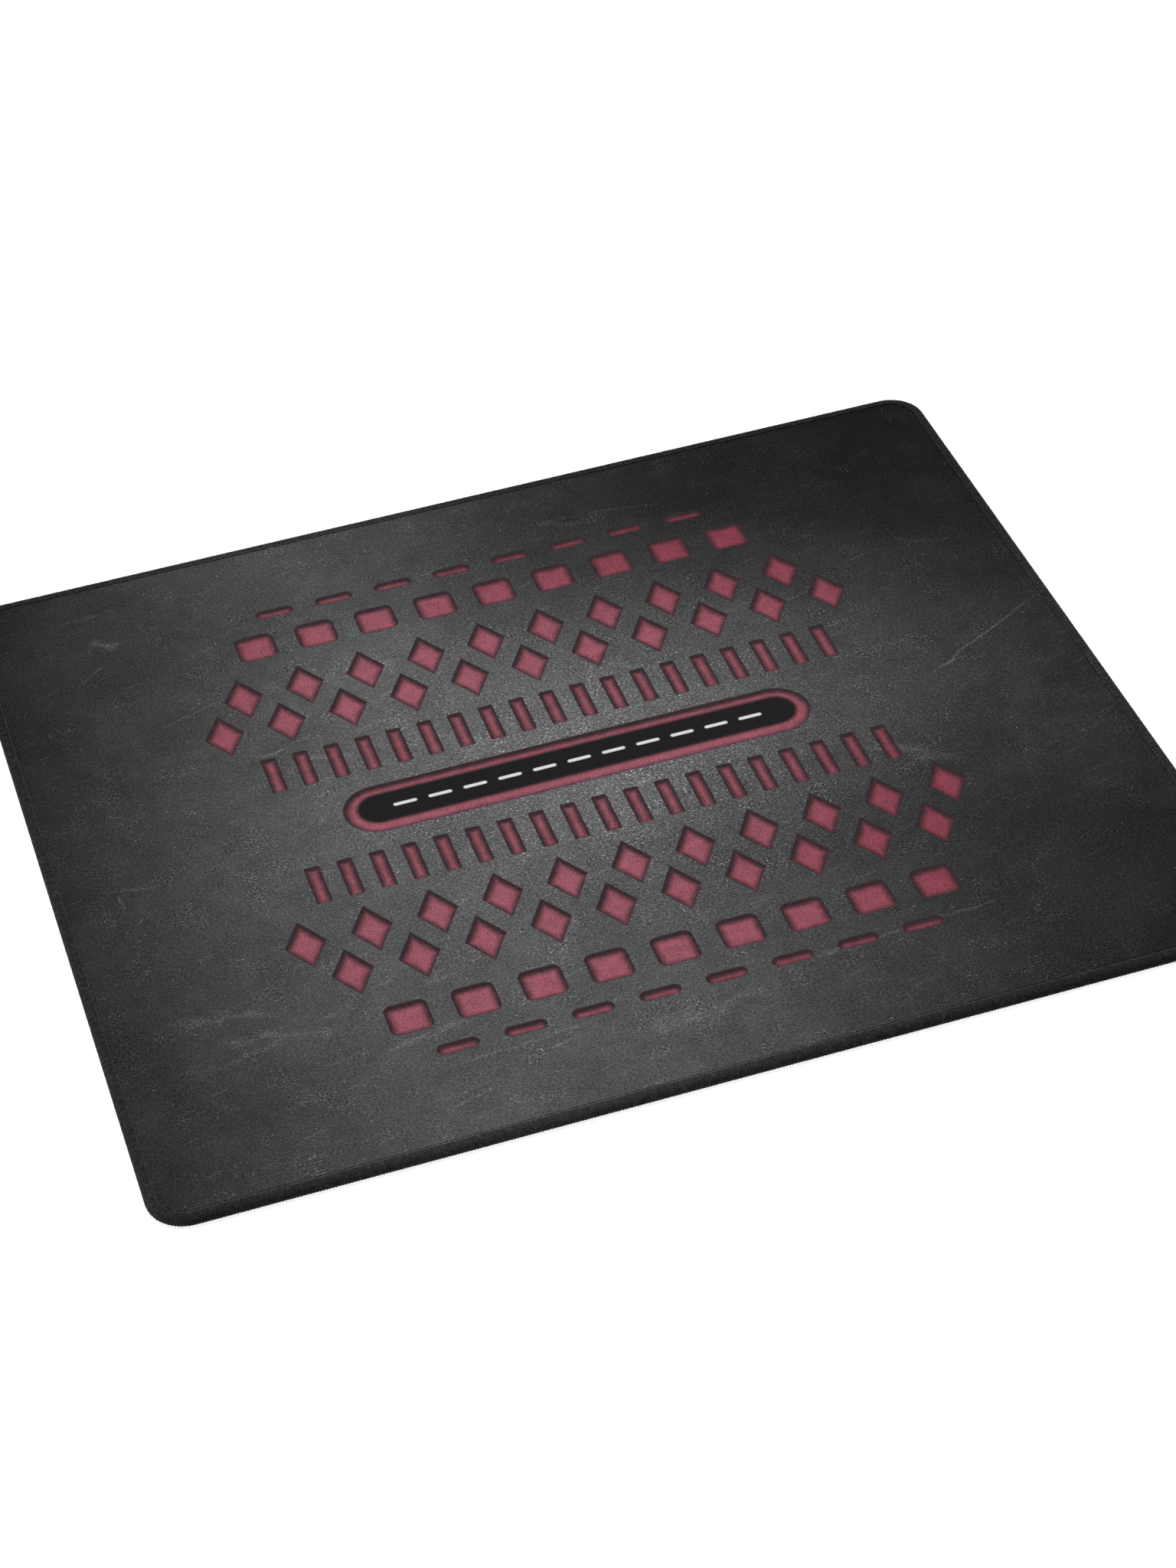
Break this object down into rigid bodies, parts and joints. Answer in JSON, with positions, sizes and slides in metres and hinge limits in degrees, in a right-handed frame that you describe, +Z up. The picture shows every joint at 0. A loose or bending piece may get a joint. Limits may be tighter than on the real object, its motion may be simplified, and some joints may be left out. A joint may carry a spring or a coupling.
{
  "type": "mouse pad",
  "caption": "Flat rectangular cloth-topped mouse pad on foam rubber, with rounded corners and an overlocked thread edge.",
  "frame": {"origin": "middle of the underside, on the desk", "axes": "+X along the long side, +Y away from the user, +Z up through the thickness"},
  "size_m": [0.45, 0.4, 0.0042],
  "materials": {
    "foam_rubber": "matt black foamed rubber with a fine anti-slip relief",
    "melt_film": "thin clear melt film, hidden between the cloth and the rubber",
    "printed_cloth": "fine matt polyester weave, dyed charcoal with muted red motifs",
    "looper_thread": "soft black polyester thread, laid side by side",
    "needle_thread": "dark grey polyester thread with a slight sheen"
  },
  "bodies": {
    "root": {"rubber_base": "foam_rubber", "adhesive_film": "melt_film", "top_cloth": "printed_cloth", "lower_looper_thread": "looper_thread", "upper_looper_thread": "looper_thread", "needle_thread": "needle_thread"}
  },
  "joints": []
}
